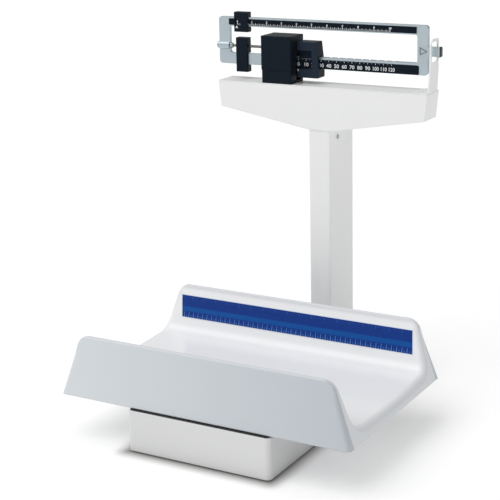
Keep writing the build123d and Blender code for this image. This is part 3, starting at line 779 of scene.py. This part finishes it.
def tape_film(name):
    film = Finish(name)
    x, _, z = film.xyz()
    along = (x / MM) + TAPE_HALF
    across = (z / MM) - TAPE_LOW
    square_x = x / MM - TAPE_SKEW * (TAPE_HIGH - z / MM) / TAPE_WIDTH
    edge_x = square_x.size() > TAPE_HALF - END_BORDER
    edge_z = (across - TAPE_WIDTH / 2).size() > TAPE_WIDTH / 2 - SIDE_BORDER
    border = film.clamp(edge_x + edge_z)
    middle = film.soft_step((across - BAND_MIDDLE).size() * -1.0, -5.5, -3.0)
    base = film.blend(film.noise(120.0, 2.0), (0.002, 0.030, 0.210, 1), (0.004, 0.042, 0.260, 1))
    bands = film.blend(0.75 * middle, base, (0.001, 0.090, 0.360, 1))

    def ticks(pitch, low, high, thick):
        near = (along % pitch) < thick
        return near * (across > low) * (across < high)

    cm_ticks = ticks(CM / 2, 2.2, 6.2, 0.9) + ticks(CM, 2.2, 11.0, 1.2)
    inch_ticks = ticks(INCH / 4, 37.2, 39.2, 0.5) + ticks(INCH, 35.0, 39.2, 0.8)
    marks = film.clamp(0.40 * cm_ticks + 0.22 * inch_ticks)
    printed = film.blend(marks, bands, (0.16, 0.38, 0.74, 1))
    film.set(Base_Color=film.blend(border, printed, (0.74, 0.80, 0.88, 1)))
    film.set(Specular_IOR_Level=0.2)
    film.set(Roughness=0.30 + 0.12 * film.noise(40.0, 3.0))
    film.bump(film.noise(300.0, 2.0), 0.06, 0.0003)
    return film.material


tape_print = tape_film("tape_film")
print("tape print", tape_print.name)

# %% [markdown]
# The tape's strip
# The film is a thin strip with rounded corners. A plain rectangle would miss
# the wing, which slopes, so every corner point is laid on the wing's inner face
# and a second one just in front of it. Joined up, they make a closed solid.

# %% Tape strip
FILM_THICK = 0.5
FILM_CORNER = 1.5


def on_wing(x, z, out):
    """A point on the rear wing's inner face, lifted off it by out."""
    rise = LIP_IN - KNEE
    y = TRAY_Y + KNEE.x + (z - KNEE.y) * rise.x / rise.y
    return Vector((x * MM, (y - out) * MM, z * MM))


def tape_outline():
    """The strip's outline as pairs of x and z, with rounded corners and leaning ends."""
    outline = []
    middle_z = (TAPE_LOW + TAPE_HIGH) / 2
    for side_x, side_z, quarter in ((1, 1, 0), (-1, 1, 1), (-1, -1, 2), (1, -1, 3)):
        for k in range(5):
            angle = k * pi / 8 + quarter * pi / 2
            x = side_x * (TAPE_HALF - FILM_CORNER) + FILM_CORNER * cos(angle)
            z = middle_z + side_z * (TAPE_WIDTH / 2 - FILM_CORNER) + FILM_CORNER * sin(angle)
            outline.append((x + TAPE_SKEW * (TAPE_HIGH - z) / TAPE_WIDTH, z))
    return outline


def tape_strip():
    shape = bmesh.new()
    outline = tape_outline()
    front = [shape.verts.new(on_wing(x, z, FILM_THICK)) for x, z in outline]
    rear = [shape.verts.new(on_wing(x, z, 0.0)) for x, z in outline]
    shape.faces.new(front)
    shape.faces.new(rear[::-1])
    count = len(front)
    for i in range(count):
        shape.faces.new((front[i], front[(i + 1) % count], rear[(i + 1) % count], rear[i]))
    bmesh.ops.recalc_face_normals(shape, faces=shape.faces)
    return finish_mesh("tape_strip", shape)


tape = add_piece("measuring_tape.film", tape_strip(), "measuring_tape", tape_print)
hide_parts("measuring_tape")
print("tape faces", len(tape.data.polygons))

# %% [markdown]
# Marks and numerals
# The scale plates carry white ticks and numerals. They could be painted by a
# finish, like the tape's. The plates are looked at more closely, so each tick
# and numeral is its own thin raised mark, which reads crisply from any side.

# %% Tick and numeral makers
PLATE_FACE = 206.4
INK = 0.06
CAPITAL_SHARE = 0.70
SIDES = ((0, 1, 2, 3), (7, 6, 5, 4), (0, 4, 5, 1), (1, 5, 6, 2), (2, 6, 7, 3), (3, 7, 4, 0))


def tick_mesh(name, ticks):
    """Thin upright bars: each is its middle x, lower z, upper z and width."""
    shape = bmesh.new()
    for x, low, high, width in ticks:
        corners = []
        for y in (PLATE_FACE - INK, PLATE_FACE + INK):
            for side_x, z in ((-1, low), (1, low), (1, high), (-1, high)):
                corners.append(shape.verts.new(((x + side_x * width / 2) * MM, y * MM, z * MM)))
        for side in SIDES:
            shape.faces.new([corners[i] for i in side])
    bmesh.ops.recalc_face_normals(shape, faces=shape.faces)
    return finish_mesh(name, shape)


def numeral_mesh(name, labels, height, squeeze, weight):
    """Flat raised numerals: each label is its text, middle x and middle z."""
    shape = bmesh.new()
    for text, x, z in labels:
        curve = bpy.data.curves.new("numeral", "FONT")
        curve.body = text
        curve.align_x = "CENTER"
        curve.align_y = "CENTER"
        curve.size = height * MM / CAPITAL_SHARE
        curve.extrude = INK * MM
        curve.offset = weight * MM
        curve.resolution_u = 3
        letter = bpy.data.objects.new("numeral", curve)
        solid = bpy.data.meshes.new_from_object(letter)
        narrow = squeeze * (0.86 if len(text) > 2 else 1.0)
        place = Matrix.Translation((x * MM, PLATE_FACE * MM, z * MM)) @ Matrix.Rotation(pi / 2, 4, "X")
        solid.transform(place @ Matrix.Diagonal((narrow, 1, 1, 1)))
        shape.from_mesh(solid)
        bpy.data.objects.remove(letter)
        bpy.data.meshes.remove(solid)
    return finish_mesh(name, shape)


def add_print(name, mesh, node):
    return add_piece(name, mesh, node, index_white)


print("marks stand on the plane y =", PLATE_FACE, "mm")

# %% [markdown]
# The lower plate
# It counts in tens, one numeral to each notch of the rack, with a short tick
# half-way. The numerals are generic, from 0 to 120.

# %% Lower plate: tens
ZERO_X = -55.7
NOTCH = 15.55
TICK_TOP = 607.4
tens = [ZERO_X + NOTCH * i for i in range(13)]
long_ticks = [(x, 604.9, TICK_TOP, 0.75) for x in tens]
half_ticks = [(x + NOTCH / 2, 606.2, TICK_TOP, 0.5) for x in tens[:-1]]
add_print("lower_ticks", tick_mesh("lower_ticks", long_ticks + half_ticks), "lower_scale_plate")
labels = [(str(10 * i), x, 597.6) for i, x in enumerate(tens)]
add_print("lower_numerals", numeral_mesh("lower_numerals", labels, 6.6, 1.08, 0.16), "lower_scale_plate")
print("lower ticks", len(long_ticks + half_ticks), "numerals", len(labels))

# %% [markdown]
# The upper plate
# It counts single units from 0 to 10, each cut into sixteen parts, which is a
# guess. The tick's height tells which part it marks, so a short table of sizes
# does the work of four loops.

# %% Upper plate: units, quarters, eighths and sixteenths
FINE_ZERO = -184.2
FINE_PITCH = 1.95
FINE_LOW = 665.0
PARTS = 16
FINE_COUNT = 10 * PARTS
tick_sizes = ((PARTS, 4.4, 1.15), (4, 3.6, 0.95), (2, 2.7, 0.75), (1, 1.6, 0.42))
fine = []
for i in range(FINE_COUNT + 1):
    height, width = next((tall, wide) for step, tall, wide in tick_sizes if i % step == 0)
    fine.append((FINE_ZERO + FINE_PITCH * i, FINE_LOW, FINE_LOW + height, width))
add_print("upper_ticks", tick_mesh("upper_ticks", fine), "upper_scale_plate")
units = [(str(i // PARTS), FINE_ZERO + FINE_PITCH * i, 671.1) for i in range(0, FINE_COUNT + 1, PARTS)]
add_print("upper_units", numeral_mesh("upper_units", units, 3.4, 1.2, 0.16), "upper_scale_plate")
print("upper ticks", len(fine), "numerals", len(units))

# %% [markdown]
# Shade behind the poise window
# The window of the large poise shows the numerals behind it. A thin black shade
# is added across its upper part, to hide the bright edge of the beam, so that
# the numerals are read against black. It isn't a part of the frame. The window
# could be made smaller instead, but its bezel belongs to the frame. The shade's
# front lower edge is raised a little.

# %% Window shade
SHADE_MIDDLE = (-39.1, 204.8, 616.6)
SHADE_SIZE = (29.2, 1.2, 15.2)
SHADE_RAISE = 0.6


def shade_mesh():
    shape = bmesh.new()
    bmesh.ops.create_cube(shape, size=1.0)
    for v in shape.verts:
        at_front_foot = v.co.y < 0 and v.co.z < 0
        v.co = [(middle + c * size) * MM for middle, c, size in zip(SHADE_MIDDLE, v.co, SHADE_SIZE)]
        if at_front_foot:
            v.co.z += SHADE_RAISE * MM
    return finish_mesh("window_shade", shape)


shade = add_piece("window_shade", shade_mesh(), "large_poise", enamel)
bevel(shade, 0.15, 2)
even_light(shade)
print("shade faces", len(shade.data.polygons))

# %% [markdown]
# Balance arrow
# On the right of the beam a raised triangular outline points to the balance
# loop. Its slot is the beam's own metal. A rounded copy in that metal would be
# lost against the beam, so it is drawn afresh in a darker steel. The darker
# tone is painted shade, for the shade along the raised edges, so that the
# outline can be read.

# %% Arrow outline
ARROW_FRONT = 206.3
ARROW_BACK = 207.2
ARROW_OUTER = ((184.7, 640.9), (184.7, 626.1), (199.3, 633.5))
ARROW_INNER = ((186.3, 638.3), (186.3, 628.7), (195.8, 633.5))


def arrow_outline():
    shape = bmesh.new()
    rings = []
    for points, y in ((ARROW_OUTER, ARROW_BACK), (ARROW_OUTER, ARROW_FRONT),
                      (ARROW_INNER, ARROW_FRONT), (ARROW_INNER, ARROW_BACK)):
        rings.append([shape.verts.new((x * MM, y * MM, z * MM)) for x, z in points])
    for low, high in zip(rings, rings[1:] + rings[:1]):
        for i in range(3):
            shape.faces.new((low[i], low[(i + 1) % 3], high[(i + 1) % 3], high[i]))
    bmesh.ops.recalc_face_normals(shape, faces=shape.faces)
    return finish_mesh("arrow_outline", shape)


# The arrow's darker steel is painted shade along its raised edges.
arrow = add_piece("balance_arrow.outline", arrow_outline(), "balance_arrow", arrow_shade_steel)
bevel(arrow, 0.2, 2, 40)
even_light(arrow)
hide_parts("balance_arrow")
print("arrow faces", len(arrow.data.polygons))

# %% [markdown]
# Floor
# A wide pale floor stands for a studio sweep. It glows faintly, so that it
# stays pale under a soft light. Around the foot of the base it darkens in a
# narrow band. That is a painted contact shade, because the soft light alone
# gives only a faint one. A nearer, smaller lamp would cast one too, but it
# would throw hard shadows as well. The band lies where the base stands and
# wouldn't follow it.

# %% Pale floor
FLOOR_REACH = 40.0
BASE_HALF_X = 137.0
BASE_HALF_Y = 277.0
BAND_FROM = -12.0
BAND_CLEAR = 34.0
GLOW = 0.21

floor_mesh = bpy.data.meshes.new("floor")
sheet = [(x * FLOOR_REACH, y * FLOOR_REACH, 0) for x, y in ((-1, -1), (1, -1), (1, 1), (-1, 1))]
floor_mesh.from_pydata(sheet, [], [(0, 1, 2, 3)])
floor = bpy.data.objects.new("floor", floor_mesh)
bpy.context.scene.collection.objects.link(floor)
sweep = Finish("pale_floor")
x, y, _ = sweep.xyz()
beyond_x = sweep.above((x / MM).size() - BASE_HALF_X, 0.0)
beyond_y = sweep.above((y / MM).size() - BASE_HALF_Y, 0.0)
away = (beyond_x * beyond_x + beyond_y * beyond_y).root()
clear = sweep.soft_step(away, BAND_FROM, BAND_CLEAR)
sweep.set(Base_Color=sweep.blend(clear, (0.16, 0.155, 0.145, 1), (0.92, 0.92, 0.92, 1)))
sweep.set(Emission_Color=sweep.blend(clear, (0.0, 0.0, 0.0, 1), (1, 1, 1, 1)), Emission_Strength=GLOW)
sweep.set(Roughness=0.9 + 0.05 * sweep.noise(3.0))
floor_mesh.materials.append(sweep.material)
print("floor", 2 * FLOOR_REACH, "m wide")

# %% [markdown]
# Sky and sun
# The sky is a plain grey that is brighter above and to the front left, and a
# wide sun gives the gentle shade under the tray. Softbox lamps could do the
# same, but a sky lights every side without showing a lamp in the metal. White
# paint needs a light that leaves room below full white.

# %% Light
SKY_BRIGHTEST = (-0.56, -0.35, 0.82)
SKY_LEVELS = {1: -0.7, 2: 1.0, 3: 0.30, 4: 0.78}
SUN_TRAVEL = (0.55, 0.75, -1.6)
SUN_POWER = 0.95
SUN_WIDTH = 50

world = bpy.data.worlds.new("sky")
bpy.context.scene.world = world
sky = Recipe(world, "Background", "Generated")
facing = {0: sky.place, 1: Vector(SKY_BRIGHTEST).normalized()}
tilt = sky.node("ShaderNodeVectorMath", {"operation": "DOT_PRODUCT"}, facing, "Value")
sky.set(Strength=sky.node("ShaderNodeMapRange", {}, {0: tilt, **SKY_LEVELS}))
sky.set(Color=(1.0, 1.0, 1.0, 1))

sun = bpy.data.objects.new("sun", bpy.data.lights.new("sun", "SUN"))
bpy.context.scene.collection.objects.link(sun)
sun.data.energy = SUN_POWER
sun.data.angle = radians(SUN_WIDTH)
sun.rotation_mode = "QUATERNION"
sun.rotation_quaternion = Vector(SUN_TRAVEL).normalized().to_track_quat("-Z", "Y")
bpy.context.scene.view_settings.view_transform = "Standard"
print("sun", SUN_POWER, "and sky", SKY_LEVELS[3], "to", SKY_LEVELS[4])

# %% Update the scene
bpy.context.view_layer.update()
